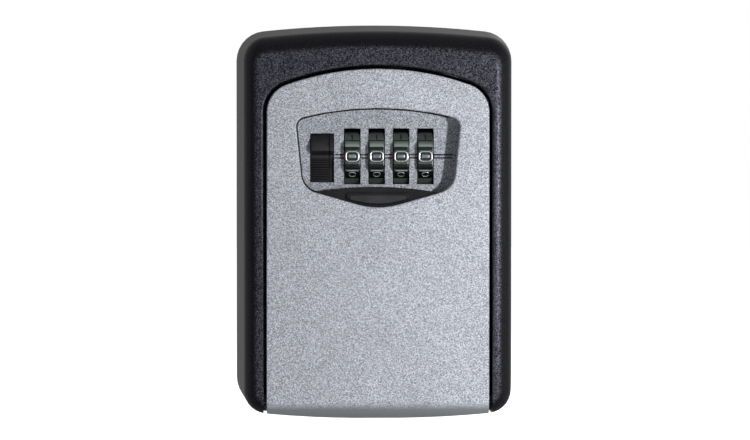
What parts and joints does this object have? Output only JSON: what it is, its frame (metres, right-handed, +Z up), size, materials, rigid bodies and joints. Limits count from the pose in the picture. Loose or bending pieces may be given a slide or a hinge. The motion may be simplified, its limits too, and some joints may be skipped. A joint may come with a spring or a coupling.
{
  "type": "wall-mounted combination key safe",
  "caption": "Wall-mounted key safe: dark cast housing, silver drop-down door, number dials behind a sliding shutter, and a sprung open lever with latch.",
  "frame": {"origin": "centre of the flat rear face that lies on the wall", "axes": "+X to the right as seen from the front, +Y out of the rear face into the wall, +Z up towards the latch end"},
  "size_m": [0.083, 0.034, 0.1166],
  "materials": {
    "housing_paint": "textured dark grey enamel on a zinc casting",
    "door_paint": "speckled silver enamel on a zinc casting",
    "dial_metal": "satin, darkened, with bright figures",
    "steel": "plain zinc-plated steel",
    "brass": "turned, plain",
    "black_plastic": "moulded, satin",
    "shutter_plastic": "moulded, satin, with a fine grain on the finger pad"
  },
  "bodies": {
    "housing": {"housing": "housing_paint", "hinge_pin": "steel"},
    "door": {"door_shell": "door_paint", "dial_plate": "door_paint", "inner_cover": "black_plastic", "clutch_spring": "steel", "detent_spring": "steel", "detent_rivet_1": "steel", "detent_rivet_2": "steel", "latch_spring_left": "steel", "latch_spring_right": "steel", "plate_screw_1": "steel", "plate_screw_2": "steel", "plate_screw_3": "steel", "plate_screw_4": "steel", "cover_screw_1": "steel", "cover_screw_2": "steel", "cover_screw_3": "steel", "cover_screw_4": "steel"},
    "dial_one": {"dial_1": "dial_metal"},
    "dial_two": {"dial_2": "dial_metal"},
    "dial_three": {"dial_3": "dial_metal"},
    "dial_four": {"dial_4": "dial_metal"},
    "sleeve_one": {"code_sleeve_1": "brass"},
    "sleeve_two": {"code_sleeve_2": "brass"},
    "sleeve_three": {"code_sleeve_3": "brass"},
    "sleeve_four": {"code_sleeve_4": "brass"},
    "opener": {"open_lever": "black_plastic", "latch_plate": "steel", "lever_rivet_1": "steel", "lever_rivet_2": "steel"},
    "shutter": {"shutter": "shutter_plastic"},
    "reset": {"reset_slider": "black_plastic", "dial_shaft": "steel", "shaft_clip_left": "steel", "shaft_clip_right": "steel"}
  },
  "joints": [
    {"name": "door_hinge", "type": "hinge", "parent": "housing", "child": "door", "pos_m": [0, -0.028, -0.052], "axis": [1, 0, 0], "range_deg": [0, 105]},
    {"name": "dial_1_spin", "type": "hinge", "parent": "door", "child": "dial_one", "pos_m": [-0.00745, -0.0206, 0.01935], "axis": [1, 0, 0], "continuous": true},
    {"name": "dial_2_spin", "type": "hinge", "parent": "door", "child": "dial_two", "pos_m": [-0.00025, -0.0206, 0.01935], "axis": [1, 0, 0], "continuous": true},
    {"name": "dial_3_spin", "type": "hinge", "parent": "door", "child": "dial_three", "pos_m": [0.00695, -0.0206, 0.01935], "axis": [1, 0, 0], "continuous": true},
    {"name": "dial_4_spin", "type": "hinge", "parent": "door", "child": "dial_four", "pos_m": [0.01415, -0.0206, 0.01935], "axis": [1, 0, 0], "continuous": true},
    {"name": "lever_slide", "type": "slide", "parent": "door", "child": "opener", "axis": [0, 0, -1], "range_m": [0, 0.004], "stiffness_N_per_m": 300, "springref_m": -0.005, "deforming": ["latch_spring_left", "latch_spring_right"]},
    {"name": "shutter_slide", "type": "slide", "parent": "door", "child": "shutter", "axis": [0, 0, 1], "range_m": [0, 0.0236]},
    {"name": "reset_slide", "type": "slide", "parent": "door", "child": "reset", "axis": [1, 0, 0], "range_m": [0, 0.0012], "stiffness_N_per_m": 400, "springref_m": -0.003, "deforming": ["clutch_spring"]},
    {"name": "sleeve_1_slide", "type": "slide", "parent": "dial_one", "child": "sleeve_one", "axis": [1, 0, 0], "range_m": [0, 0.0012]},
    {"name": "sleeve_2_slide", "type": "slide", "parent": "dial_two", "child": "sleeve_two", "axis": [1, 0, 0], "range_m": [0, 0.0012]},
    {"name": "sleeve_3_slide", "type": "slide", "parent": "dial_three", "child": "sleeve_three", "axis": [1, 0, 0], "range_m": [0, 0.0012]},
    {"name": "sleeve_4_slide", "type": "slide", "parent": "dial_four", "child": "sleeve_four", "axis": [1, 0, 0], "range_m": [0, 0.0012]}
  ],
  "couplings": [
    {"joint": "sleeve_1_slide", "follows": "reset_slide", "ratio": 1},
    {"joint": "sleeve_2_slide", "follows": "reset_slide", "ratio": 1},
    {"joint": "sleeve_3_slide", "follows": "reset_slide", "ratio": 1},
    {"joint": "sleeve_4_slide", "follows": "reset_slide", "ratio": 1}
  ]
}
